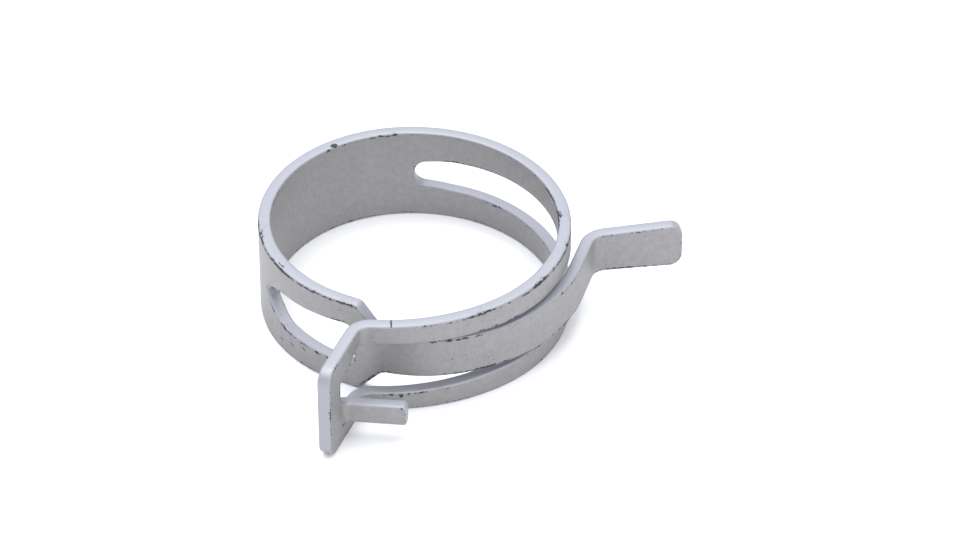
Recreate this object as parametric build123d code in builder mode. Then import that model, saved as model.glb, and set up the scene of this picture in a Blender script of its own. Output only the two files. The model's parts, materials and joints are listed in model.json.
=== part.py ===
from build123d import *

import os
from math import cos, degrees, radians, sin

# Self-gripping spring-band hose clamp: one strip of spring steel, bent only about
# axes parallel to the bore. The strip closes on itself by passing its narrow tongue
# through a long window in its forked half. Squeezing the two ears opens the ring.
#
# The strip is cut where it flexes most, so each node is one stiff stretch of it and
# the nodes meet face to face. Millimetres; +Z along the bore, +X to the right of the
# tongue ear, the closed back of the ring at +Y. The origin is on the bore's axis, at
# the edge that the clamp rests on.

# ---- the strip ----
BAND_WIDTH = 12.0
THICKNESS = 1.5
BORE_RADIUS = 16.0

# ---- forked half, clockwise from the back ----
FORK_EASE = 1.1  # how much larger than the bore the forked half is bent
HEEL_EASE = 4.15  # and how much flatter again its last stretch is
FORK_TURN = 145.0
HEEL_TURN = 39.0
EAR_BEND_INNER = 1.5
FORK_EAR_TURN = 73.6
FORK_EAR_LENGTH = 8.4
EAR_WINDOW_LENGTH = 5.1

# ---- tongue half, anticlockwise from the back ----
SIDE_TURN = 153.3
SHOULDER_RUN = 3.06
ROOT_EASE = -2.02  # the tongue's root is bent tighter than the bore
ROOT_TURN = 36.6
TONGUE_EASE = 2.16  # and the rest of it wider
TONGUE_TURN = 63.5
FLARE_LENGTH = 4.2
TONGUE_EAR_BEND_INNER = 2.0
TONGUE_EAR_TURN = 64.0
TONGUE_EAR_LENGTH = 9.1

# ---- cut-outs in the flat strip ----
TONGUE_WIDTH = 5.3
TONGUE_CLEARANCE = 1.0  # above and below the tongue, at the fork's mouth
WINDOW_START = 0.3  # from the back, towards the fork
WINDOW_NECK = 1.5  # how much narrower than the tongue the window's taper starts
WINDOW_HEEL_WIDTH = 3.1  # its rounded end is narrower still
WINDOW_HEEL_RADIUS = 1.5
EAR_WINDOW_END_HEIGHT = 6.25
SLOT_TIP_ANGLE = 108.5  # turn from the back to the slot's pointed end
SLOT_END_WALL = 0.5  # from the slot's blunt end to the shoulder's taper
SLOT_KNEE = 4.2  # from the tip to where the slot stops opening fast
SLOT_KNEE_WIDTH = 4.6
SLOT_WIDTH = 5.9
SLOT_TIP_RADIUS = 0.8
SLOT_END_RADIUS = 1.3
SHOULDER_START = 2.4  # along the shoulder's straight run
SHOULDER_LENGTH = 2.9
SHOULDER_RADIUS = 1.6
SHOULDER_CORNER_RADIUS = 0.9
TONGUE_EAR_SPREAD = 0.25  # how much the tongue ear widens, above and below, towards its tip
EAR_CORNER_RADIUS = 1.5
FORK_EAR_CORNER_RADIUS = 1.8

# ---- stop tab, lanced from the fork ear's window ----
TAB_BEND_INNER = 1.0
TAB_TURN = 75.6
TAB_LENGTH = 6.25
TAB_HEIGHT = 2.7
TAB_ROOT_RADIUS = 2.1

# ---- where the strip is parted into stiff stretches ----
FLEX_TURN = 30.0  # of ring between two flex lines
FORK_FLEXES = 3
SIDE_FLEXES = 5
TONGUE_FLEX_GAP = 0.5  # past the shoulder
FORK_FRONT_PARTS = 3

HALF = THICKNESS / 2
MID_Z = BAND_WIDTH / 2
REACH = 4 * BORE_RADIUS  # longer than any cut has to be
OVERCUT = 1.0
SIDE_RADIUS = BORE_RADIUS + HALF
FORK_RADIUS = SIDE_RADIUS + FORK_EASE
HEEL_RADIUS = FORK_RADIUS + HEEL_EASE
ROOT_RADIUS = SIDE_RADIUS + ROOT_EASE
TONGUE_RADIUS = SIDE_RADIUS + TONGUE_EASE
BACK = (0.0, SIDE_RADIUS)


def direction(heading):
    return Vector(cos(radians(heading)), sin(radians(heading)))


def left_of(heading):
    return Vector(-sin(radians(heading)), cos(radians(heading)))


class CentreLine:
    """The strip's centre line in plan: bends (radius, turn) and straight runs (length, None)."""

    def __init__(self, start, heading, runs):
        self.spans = []
        self.joins = [0.0]
        point = Vector(*start)
        station = 0.0
        for size, turn in runs:
            length = size if turn is None else size * abs(radians(turn))
            self.spans.append((station, length, point, heading, size, turn))
            station += length
            self.joins.append(station)
            point, heading = self.at(station)

    @property
    def length(self):
        return self.joins[-1]

    def at(self, station):
        """The point and the heading at a distance along the strip."""
        for start, length, point, heading, size, turn in self.spans:
            if station <= start + length + 1e-9:
                break
        along = station - start
        if turn is None:
            return point + direction(heading) * along, heading
        side = 1 if turn > 0 else -1
        new_heading = heading + side * degrees(along / size)
        centre = point + left_of(heading) * size * side
        return centre - left_of(new_heading) * size * side, new_heading

    def edge(self, start, end, offset):
        """Draw one face of the strip, seen from above, in the open BuildLine."""
        stops = [start] + [j for j in self.joins if start + 1e-6 < j < end - 1e-6] + [end]
        for a, b in zip(stops, stops[1:]):
            points = []
            for station in (a, (a + b) / 2, b):
                point, heading = self.at(station)
                points.append(point + left_of(heading) * offset)
            if any(s <= (a + b) / 2 <= s + l and t is None for s, l, _, _, _, t in self.spans):
                Line(points[0], points[2])
            else:
                ThreePointArc(*points)

    def end(self, station):
        """Draw the strip's square end at a station, in the open BuildLine."""
        point, heading = self.at(station)
        Line(point + left_of(heading) * HALF, point - left_of(heading) * HALF)

    def side_plane(self, start, end):
        """The plane that looks squarely at a stretch: local X along it, local Y up the band."""
        (a, _), (b, _) = self.at(start), self.at(end)
        along = (b - a).normalized()
        return Plane(origin=(a + b) / 2, x_dir=along, z_dir=along.cross(Vector(0, 0, 1)))

    def seen(self, plane, station):
        """How far along a side plane's local X a station lies."""
        return (self.at(station)[0] - plane.origin).dot(plane.x_dir)


FORK = CentreLine(
    BACK,
    0.0,
    [
        (FORK_RADIUS, -FORK_TURN),
        (HEEL_RADIUS, -HEEL_TURN),
        (EAR_BEND_INNER + HALF, FORK_EAR_TURN),
        (FORK_EAR_LENGTH, None),
    ],
)
TONGUE = CentreLine(
    BACK,
    180.0,
    [
        (SIDE_RADIUS, SIDE_TURN),
        (SHOULDER_RUN, None),
        (ROOT_RADIUS, ROOT_TURN),
        (TONGUE_RADIUS, TONGUE_TURN),
        (FLARE_LENGTH, None),
        (TONGUE_EAR_BEND_INNER + HALF, -TONGUE_EAR_TURN),
        (TONGUE_EAR_LENGTH, None),
    ],
)

FORK_MOUTH = FORK.joins[2]
EAR_FOOT = FORK.joins[3]
EAR_WINDOW_END = EAR_FOOT + EAR_WINDOW_LENGTH
MOUTH_HALF = TONGUE_WIDTH / 2 + TONGUE_CLEARANCE
LOWER_RAIL_TOP = MID_Z - MOUTH_HALF
WINDOW_START_HALF = (TONGUE_WIDTH - WINDOW_NECK) / 2
SHOULDER_TOP = TONGUE.joins[1] + SHOULDER_START
SHOULDER_FOOT = SHOULDER_TOP + SHOULDER_LENGTH
SLOT_TIP = SIDE_RADIUS * radians(SLOT_TIP_ANGLE)
SLOT_END = SHOULDER_TOP - SLOT_END_WALL

FORK_STOPS = [FORK_RADIUS * radians(FLEX_TURN) * (i + 0.5) for i in range(FORK_FLEXES)]
SIDE_STOPS = [SIDE_RADIUS * radians(FLEX_TURN) * (i + 0.5) for i in range(SIDE_FLEXES)]
TONGUE_FLEX = SHOULDER_FOOT + TONGUE_FLEX_GAP


def window_half(station):
    """Half the fork window's height: a straight taper from its heel to the fork's mouth."""
    along = (station - WINDOW_START) / (FORK_MOUTH - WINDOW_START)
    return WINDOW_START_HALF + along * (MOUTH_HALF - WINDOW_START_HALF)


def slot_half(station):
    """Half the side slot's height, from its knee to its end."""
    along = (station - SLOT_TIP - SLOT_KNEE) / (SLOT_END - SLOT_TIP - SLOT_KNEE)
    return (SLOT_KNEE_WIDTH + along * (SLOT_WIDTH - SLOT_KNEE_WIDTH)) / 2


def save(piece, name):
    piece.part.label = name
    export_step(piece.part, f"parts/{name}.step")


def stretch(line, start, end, low=0.0, height=BAND_WIDTH):
    """Raise one stretch of the strip, between two stations, in the open BuildPart."""
    with BuildSketch(Plane.XY.offset(low)) as outline:
        with BuildLine():
            line.edge(start, end, HALF)
            line.end(end)
            line.edge(start, end, -HALF)
            line.end(start)
        make_face()
    extrude(outline.sketch, amount=height)


def at_x(shape, x):
    """The corners of a sketch that stand at one distance along the strip."""
    return shape.vertices().filter_by(lambda corner: abs(corner.X - x) < 1e-4)


def beyond(first, last, ends):
    """Carry a straight edge past the ends of the stretch that it trims."""
    (x0, z0), (x1, z1) = first, last
    slope = (z1 - z0) / (x1 - x0)
    before = (x0 - OVERCUT, z0 - OVERCUT * slope)
    after = (x1 + OVERCUT, z1 + OVERCUT * slope)
    return before if ends == "start" else after


def trim_rail(view, edge, upper):
    """Keep only what lies above, or below, a window's edge given from the middle line."""
    points = [beyond(edge[0], edge[1], "start"), *edge[1:-1], beyond(edge[-2], edge[-1], "end")]
    side = 1 if upper else -1
    outside = MID_Z + side * (MID_Z + OVERCUT)
    with BuildSketch(view) as keep:
        with BuildLine():
            Polyline(
                *[(x, MID_Z + side * half) for x, half in points],
                (points[-1][0], outside),
                (points[0][0], outside),
                close=True,
            )
        make_face()
    extrude(keep.sketch, amount=REACH, both=True, mode=Mode.INTERSECT)


def rail(line, start, end, name, half_height, upper):
    """One rail of the strip beside a window whose half height is known at every station."""
    with BuildPart() as piece:
        stretch(line, start, end)
        view = line.side_plane(start, end)
        trim_rail(view, [(line.seen(view, s), half_height(s)) for s in (start, end)], upper)
    save(piece, name)


def rail_pair(line, start, end, side_name, number, half_height):
    for level in ("upper", "lower"):
        rail(line, start, end, f"{side_name}_{level}_rail_{number}", half_height, level == "upper")


os.makedirs("parts", exist_ok=True)

# ---- back of the ring: full width, with the heel of the fork's window ----
with BuildPart() as back_band:
    stretch(TONGUE, 0.0, SIDE_STOPS[0])
    stretch(FORK, 0.0, FORK_STOPS[0])
    heel_view = FORK.side_plane(0.0, FORK_STOPS[0])
    heel_x = FORK.seen(heel_view, WINDOW_START)
    exit_x = FORK.seen(heel_view, FORK_STOPS[0])
    heel_half = WINDOW_HEEL_WIDTH / 2
    exit_point = beyond((heel_x, heel_half), (exit_x, window_half(FORK_STOPS[0])), "end")
    with BuildSketch(heel_view) as heel:
        with BuildLine():
            Polyline(
                (heel_x, MID_Z + heel_half),
                (exit_point[0], MID_Z + exit_point[1]),
                (exit_point[0], MID_Z - exit_point[1]),
                (heel_x, MID_Z - heel_half),
                close=True,
            )
        make_face()
        fillet(at_x(heel, heel_x), WINDOW_HEEL_RADIUS)
    extrude(amount=REACH, both=True, mode=Mode.SUBTRACT)
save(back_band, "back_band")

# ---- fork rails: the stretches that flex, then the stiff front ----
front_step = (FORK_MOUTH - FORK_STOPS[-1]) / FORK_FRONT_PARTS
front_stops = [FORK_STOPS[-1] + front_step * i for i in range(1, FORK_FRONT_PARTS + 1)]
rail_stops = FORK_STOPS + front_stops
for i, (near, far) in enumerate(zip(rail_stops, rail_stops[1:])):
    rail_pair(FORK, near, far, "fork", i + 1, window_half)

# ---- fork ear: two arms bent outwards, joined by a full-width tip ----
ear_view = FORK.side_plane(FORK_MOUTH, EAR_WINDOW_END)
ear_stops = [FORK.seen(ear_view, s) for s in (FORK_MOUTH, EAR_FOOT, EAR_WINDOW_END)]
arm_edges = {
    "upper": [MOUTH_HALF, MOUTH_HALF, EAR_WINDOW_END_HEIGHT - MOUTH_HALF],
    "lower": [MOUTH_HALF, MOUTH_HALF, MOUTH_HALF],
}
for level, halves in arm_edges.items():
    with BuildPart() as ear_arm:
        stretch(FORK, FORK_MOUTH, EAR_WINDOW_END)
        trim_rail(ear_view, list(zip(ear_stops, halves)), level == "upper")
    save(ear_arm, f"fork_ear_{level}_arm")

with BuildPart() as fork_ear_tip:
    stretch(FORK, EAR_WINDOW_END, FORK.length)
    tip_view = FORK.side_plane(EAR_WINDOW_END, FORK.length)
    inner_x = FORK.seen(tip_view, EAR_WINDOW_END) - OVERCUT
    outer_x = FORK.seen(tip_view, FORK.length)
    with BuildSketch(tip_view) as ear_tip_shape:
        with BuildLine():
            Polyline((inner_x, 0), (outer_x, 0), (outer_x, BAND_WIDTH), (inner_x, BAND_WIDTH), close=True)
        make_face()
        fillet(at_x(ear_tip_shape, outer_x), FORK_EAR_CORNER_RADIUS)
    extrude(amount=REACH, both=True, mode=Mode.INTERSECT)
save(fork_ear_tip, "fork_ear_tip")

# ---- stop tab: folded out of the ear's window, towards the tongue ear ----
root_point, ear_heading = FORK.at(EAR_WINDOW_END)
TAB = CentreLine(
    (root_point.X, root_point.Y),
    ear_heading + 180.0,
    [(TAB_BEND_INNER + HALF, -TAB_TURN), (TAB_LENGTH, None)],
)
TAB_TOP = LOWER_RAIL_TOP + TAB_HEIGHT
with BuildPart() as stop_tab:
    stretch(TAB, 0.0, TAB.length, LOWER_RAIL_TOP, TAB_HEIGHT + TAB_ROOT_RADIUS)
    tab_view = TAB.side_plane(TAB.joins[1], TAB.length)
    root_x = TAB.seen(tab_view, 0.0)
    tab_end_x = TAB.seen(tab_view, TAB.length) + OVERCUT
    with BuildSketch(tab_view):
        with BuildLine():
            Polyline(
                (root_x, TAB_TOP + TAB_ROOT_RADIUS),
                (root_x - OVERCUT, TAB_TOP + TAB_ROOT_RADIUS),
                (root_x - OVERCUT, 0),
                (tab_end_x, 0),
                (tab_end_x, TAB_TOP),
                (root_x + TAB_ROOT_RADIUS, TAB_TOP),
            )
            middle = TAB_ROOT_RADIUS * (1 - cos(radians(45)))
            ThreePointArc(
                (root_x + TAB_ROOT_RADIUS, TAB_TOP),
                (root_x + middle, TAB_TOP + middle),
                (root_x, TAB_TOP + TAB_ROOT_RADIUS),
            )
        make_face()
    extrude(amount=REACH, both=True, mode=Mode.INTERSECT)
save(stop_tab, "stop_tab")

# ---- tongue side: solid band, then the slotted stretch ----
for i, (near, far) in enumerate(zip(SIDE_STOPS[:-2], SIDE_STOPS[1:-1])):
    with BuildPart() as side_band:
        stretch(TONGUE, near, far)
    save(side_band, f"side_band_{i + 1}")

with BuildPart() as slot_band:
    stretch(TONGUE, SIDE_STOPS[-2], SIDE_STOPS[-1])
    slot_view = TONGUE.side_plane(SIDE_STOPS[-2], SIDE_STOPS[-1])
    tip_x, knee_x, open_x = [
        TONGUE.seen(slot_view, s) for s in (SLOT_TIP, SLOT_TIP + SLOT_KNEE, SIDE_STOPS[-1])
    ]
    knee_half = SLOT_KNEE_WIDTH / 2
    open_point = beyond((knee_x, knee_half), (open_x, slot_half(SIDE_STOPS[-1])), "end")
    with BuildSketch(slot_view) as slot:
        with BuildLine():
            Polyline(
                (tip_x, MID_Z),
                (knee_x, MID_Z + knee_half),
                (open_point[0], MID_Z + open_point[1]),
                (open_point[0], MID_Z - open_point[1]),
                (knee_x, MID_Z - knee_half),
                close=True,
            )
        make_face()
        fillet(at_x(slot, knee_x), SLOT_KNEE)
        fillet(at_x(slot, tip_x), SLOT_TIP_RADIUS)
    extrude(amount=REACH, both=True, mode=Mode.SUBTRACT)
save(slot_band, "slot_band")

RAIL_END = SLOT_END - SLOT_END_RADIUS - HALF
rail_pair(TONGUE, SIDE_STOPS[-1], RAIL_END, "side", 1, slot_half)

with BuildPart() as shoulder:
    stretch(TONGUE, RAIL_END, TONGUE_FLEX)
    shoulder_view = TONGUE.side_plane(RAIL_END, TONGUE_FLEX)
    open_x, end_x, top_x, foot_x, tongue_x = [
        TONGUE.seen(shoulder_view, s)
        for s in (RAIL_END, SLOT_END, SHOULDER_TOP, SHOULDER_FOOT, TONGUE_FLEX)
    ]
    tongue_half = TONGUE_WIDTH / 2
    with BuildSketch(shoulder_view) as shoulder_shape:
        with BuildLine():
            Polyline(
                (open_x - OVERCUT, 0),
                (top_x, 0),
                (foot_x, MID_Z - tongue_half),
                (tongue_x + OVERCUT, MID_Z - tongue_half),
                (tongue_x + OVERCUT, MID_Z + tongue_half),
                (foot_x, MID_Z + tongue_half),
                (top_x, BAND_WIDTH),
                (open_x - OVERCUT, BAND_WIDTH),
                close=True,
            )
        make_face()
        fillet(at_x(shoulder_shape, foot_x), SHOULDER_RADIUS)
        fillet(at_x(shoulder_shape, top_x), SHOULDER_CORNER_RADIUS)
    extrude(amount=REACH, both=True, mode=Mode.INTERSECT)
    mouth = beyond((open_x, slot_half(RAIL_END)), (end_x, slot_half(SLOT_END)), "start")
    with BuildSketch(shoulder_view) as slot_end:
        with BuildLine():
            Polyline(
                (mouth[0], MID_Z + mouth[1]),
                (end_x, MID_Z + slot_half(SLOT_END)),
                (end_x, MID_Z - slot_half(SLOT_END)),
                (mouth[0], MID_Z - mouth[1]),
                close=True,
            )
        make_face()
        fillet(at_x(slot_end, end_x), SLOT_END_RADIUS)
    extrude(amount=REACH, both=True, mode=Mode.SUBTRACT)
save(shoulder, "shoulder")

# ---- tongue: narrow, through the fork's window and out to its own ear ----
tongue_low = MID_Z - TONGUE_WIDTH / 2
tongue_middle = (TONGUE.joins[3] + TONGUE.joins[4]) / 2
tongue_parts = {
    "tongue_root": (TONGUE_FLEX, TONGUE.joins[3]),
    "tongue_middle": (TONGUE.joins[3], tongue_middle),
    "tongue_outer": (tongue_middle, TONGUE.joins[4]),
    "tongue_flare": (TONGUE.joins[4], TONGUE.joins[5]),
}
for name, (near, far) in tongue_parts.items():
    with BuildPart() as tongue:
        stretch(TONGUE, near, far, tongue_low, TONGUE_WIDTH)
    save(tongue, name)

with BuildPart() as tongue_ear:
    stretch(TONGUE, TONGUE.joins[5], TONGUE.length)
    flat_view = TONGUE.side_plane(TONGUE.joins[6], TONGUE.length)
    bend_x = TONGUE.seen(flat_view, TONGUE.joins[5]) - THICKNESS
    foot_x = TONGUE.seen(flat_view, TONGUE.joins[6])
    ear_x = TONGUE.seen(flat_view, TONGUE.length)
    tip_half = TONGUE_WIDTH / 2 + TONGUE_EAR_SPREAD
    with BuildSketch(flat_view) as ear_shape:
        with BuildLine():
            Polyline(
                (bend_x, MID_Z - tongue_half),
                (foot_x, MID_Z - tongue_half),
                (ear_x, MID_Z - tip_half),
                (ear_x, MID_Z + tip_half),
                (foot_x, MID_Z + tongue_half),
                (bend_x, MID_Z + tongue_half),
                close=True,
            )
        make_face()
        fillet(at_x(ear_shape, ear_x), EAR_CORNER_RADIUS)
    extrude(amount=REACH, both=True, mode=Mode.INTERSECT)
save(tongue_ear, "tongue_ear")
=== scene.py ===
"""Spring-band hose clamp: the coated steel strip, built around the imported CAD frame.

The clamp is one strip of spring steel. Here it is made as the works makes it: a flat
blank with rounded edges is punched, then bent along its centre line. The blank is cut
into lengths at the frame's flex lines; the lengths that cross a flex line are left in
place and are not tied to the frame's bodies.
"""

import json
import logging
import math
from dataclasses import dataclass
from enum import Enum
from typing import Iterable, Optional, Sequence, Union

import bmesh
import bpy
import numpy as np
from mathutils import Matrix, Vector
from mathutils.geometry import tessellate_polygon


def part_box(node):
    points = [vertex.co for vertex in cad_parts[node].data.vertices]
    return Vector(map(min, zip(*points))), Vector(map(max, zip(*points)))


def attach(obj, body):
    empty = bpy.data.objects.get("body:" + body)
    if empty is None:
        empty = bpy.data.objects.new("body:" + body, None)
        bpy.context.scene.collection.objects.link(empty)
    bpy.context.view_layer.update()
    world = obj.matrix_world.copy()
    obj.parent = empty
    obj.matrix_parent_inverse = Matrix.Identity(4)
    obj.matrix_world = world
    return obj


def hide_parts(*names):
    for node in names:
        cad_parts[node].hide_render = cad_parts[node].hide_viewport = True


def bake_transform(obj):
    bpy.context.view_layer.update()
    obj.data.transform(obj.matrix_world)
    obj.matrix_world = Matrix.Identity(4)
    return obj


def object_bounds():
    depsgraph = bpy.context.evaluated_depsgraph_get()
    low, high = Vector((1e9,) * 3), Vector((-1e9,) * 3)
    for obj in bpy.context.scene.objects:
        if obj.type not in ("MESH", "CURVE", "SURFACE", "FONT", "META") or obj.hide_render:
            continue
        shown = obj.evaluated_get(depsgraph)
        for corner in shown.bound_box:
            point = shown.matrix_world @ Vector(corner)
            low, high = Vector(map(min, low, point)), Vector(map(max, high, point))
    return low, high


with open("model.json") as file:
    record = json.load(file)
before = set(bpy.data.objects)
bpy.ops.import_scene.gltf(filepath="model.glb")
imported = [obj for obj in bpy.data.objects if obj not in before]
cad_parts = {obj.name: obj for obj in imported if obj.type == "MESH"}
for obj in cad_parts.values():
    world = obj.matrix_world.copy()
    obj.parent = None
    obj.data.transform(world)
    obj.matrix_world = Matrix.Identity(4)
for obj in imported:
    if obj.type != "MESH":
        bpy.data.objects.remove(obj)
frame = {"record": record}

CAD_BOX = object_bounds()
LOG = logging.getLogger("hose_clamp")
MM = 0.001
CUT_TOLERANCE = 1e-5  # mm, how near a point counts as on a cut
CREASE_CLEARANCE = 1e-3  # mm, how near a cut a crease is left out
OVERRUN = 1.0  # mm, how far an end cut stands clear of the blank
SHARP_ANGLE = 40.0  # degrees, above which an edge is shaded sharp
LEAST_OPENING = 0.2  # keeps the inset of a needle-sharp corner short

Number = Union[int, float]
Point2 = tuple[float, float]
Ring = list[bmesh.types.BMVert]


# --------------------------------------------------------------------------- shaders


class Socket:
    """A shader value. Used in an expression, it adds its own Math nodes."""

    def __init__(self, tree: "ShaderTree", link: bpy.types.NodeSocket) -> None:
        """Wrap an output socket.

        Args:
            tree: The tree that the socket belongs to.
            link: The node's output socket.
        """
        self.tree = tree
        self.link = link

    def __add__(self, other: "Value") -> "Socket":
        """Sum of two values."""
        return self.tree.math("ADD", self, other)

    def __radd__(self, other: Number) -> "Socket":
        """Sum with a number on the left."""
        return self.tree.math("ADD", other, self)

    def __sub__(self, other: "Value") -> "Socket":
        """Difference of two values."""
        return self.tree.math("SUBTRACT", self, other)

    def __rsub__(self, other: Number) -> "Socket":
        """Difference with a number on the left."""
        return self.tree.math("SUBTRACT", other, self)

    def __mul__(self, other: "Value") -> "Socket":
        """Product of two values."""
        return self.tree.math("MULTIPLY", self, other)

    def __rmul__(self, other: Number) -> "Socket":
        """Product with a number on the left."""
        return self.tree.math("MULTIPLY", other, self)

    def __abs__(self) -> "Socket":
        """Distance from zero."""
        return self.tree.math("ABSOLUTE", self)

    def __or__(self, other: "Value") -> "Socket":
        """The larger of two masks."""
        return self.tree.math("MAXIMUM", self, other)


Value = Union[Socket, Number]


class ShaderTree:
    """A material's node tree, with one method for every kind of node."""

    def __init__(self, name: str) -> None:
        """Start an empty material.

        Args:
            name: The material's name.
        """
        self.material = bpy.data.materials.new(name)
        self.material.use_nodes = True
        self.tree = self.material.node_tree
        self.tree.nodes.clear()

    def node(
        self,
        kind: str,
        settings: Optional[dict[str, object]] = None,
        inputs: Optional[dict[Union[str, int], object]] = None,
        output: Union[str, int] = 0,
    ) -> Optional[Socket]:
        """Add a node, set it, then fill or link its sockets.

        Args:
            kind: The node's type name.
            settings: Properties of the node, set before its sockets.
            inputs: A value, or a Socket to link, for each named input.
            output: The output to hand back.

        Returns:
            The chosen output, wrapped, or None from a node that has no output.
        """
        made = self.tree.nodes.new(kind)
        for key, value in (settings or {}).items():
            setattr(made, key, value)
        for key, value in (inputs or {}).items():
            if isinstance(value, Socket):
                self.tree.links.new(value.link, made.inputs[key])
            else:
                made.inputs[key].default_value = value
        return Socket(self, made.outputs[output]) if len(made.outputs) else None

    def math(self, operation: str, *values: Value) -> Socket:
        """One Math node.

        Args:
            operation: The node's operation.
            values: Its inputs, in order.

        Returns:
            The result.
        """
        inputs = dict(enumerate(values))
        return self.node("ShaderNodeMath", {"operation": operation}, inputs)

    def vector(self, operation: str, *values: object) -> Socket:
        """One Vector Math node, for its vector result."""
        inputs = dict(enumerate(values))
        return self.node("ShaderNodeVectorMath", {"operation": operation}, inputs)

    def attribute(self, name: str, output: str) -> Socket:
        """A mesh attribute, as "Vector" or as "Fac"."""
        return self.node("ShaderNodeAttribute", {"attribute_name": name}, output=output)

    def noise(self, place: Socket, scale: float, detail: float = 2.0, rough: float = 0.5) -> Socket:
        """Soft noise between 0 and 1.

        Args:
            place: The coordinates.
            scale: Features per unit of those coordinates.
            detail: Octaves.
            rough: How strong the finer octaves are.

        Returns:
            The noise's value.
        """
        inputs = {"Vector": place, "Scale": scale, "Detail": detail, "Roughness": rough}
        return self.node("ShaderNodeTexNoise", inputs=inputs)

    def ramp(self, value: Value, low: float, high: float) -> Socket:
        """A smooth step: 0 below low, 1 above high."""
        settings = {"interpolation_type": "SMOOTHSTEP"}
        inputs = {"Value": value, "From Min": low, "From Max": high}
        return self.node("ShaderNodeMapRange", settings, inputs)

    def blend(self, factor: Value, first: object, second: object) -> Socket:
        """Mix two colours.

        Args:
            factor: 0 gives the first colour, 1 the second.
            first: A colour or a Socket.
            second: A colour or a Socket.

        Returns:
            The mixed colour.
        """
        return self.node("ShaderNodeMix", {"data_type": "RGBA"}, {0: factor, 6: first, 7: second}, 2)

    def surface(self, inputs: dict[str, object]) -> bpy.types.Material:
        """Finish the material with one Principled shader.

        Args:
            inputs: The shader's sockets.

        Returns:
            The finished material.
        """
        shader = self.node("ShaderNodeBsdfPrincipled", inputs=inputs)
        self.node("ShaderNodeOutputMaterial", inputs={"Surface": shader})
        return self.material


Colour = tuple[float, float, float, float]
Span = tuple[float, float]


@dataclass(frozen=True)
class Mark:
    """One dark blemish or one worn stretch, in millimetres of the flat blank.

    Attributes:
        station: How far along the strip, from the back; the fork's side is positive.
        height: How far up the band.
        length: Half its length.
        width: Half its width.
        tilt: Turn from the strip's length, in degrees.
        offset: How far outwards from the strip's middle; the outer face is at 0.75.
        depth: Half its reach through the strip.
        broken: How far the coating's grain eats into a blemish's outline, or how hard a
            stretch is worn.
    """

    station: float
    height: float
    length: float
    width: float
    tilt: float = 0.0
    offset: float = 0.75
    depth: float = 0.30
    broken: float = 1.6


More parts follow.
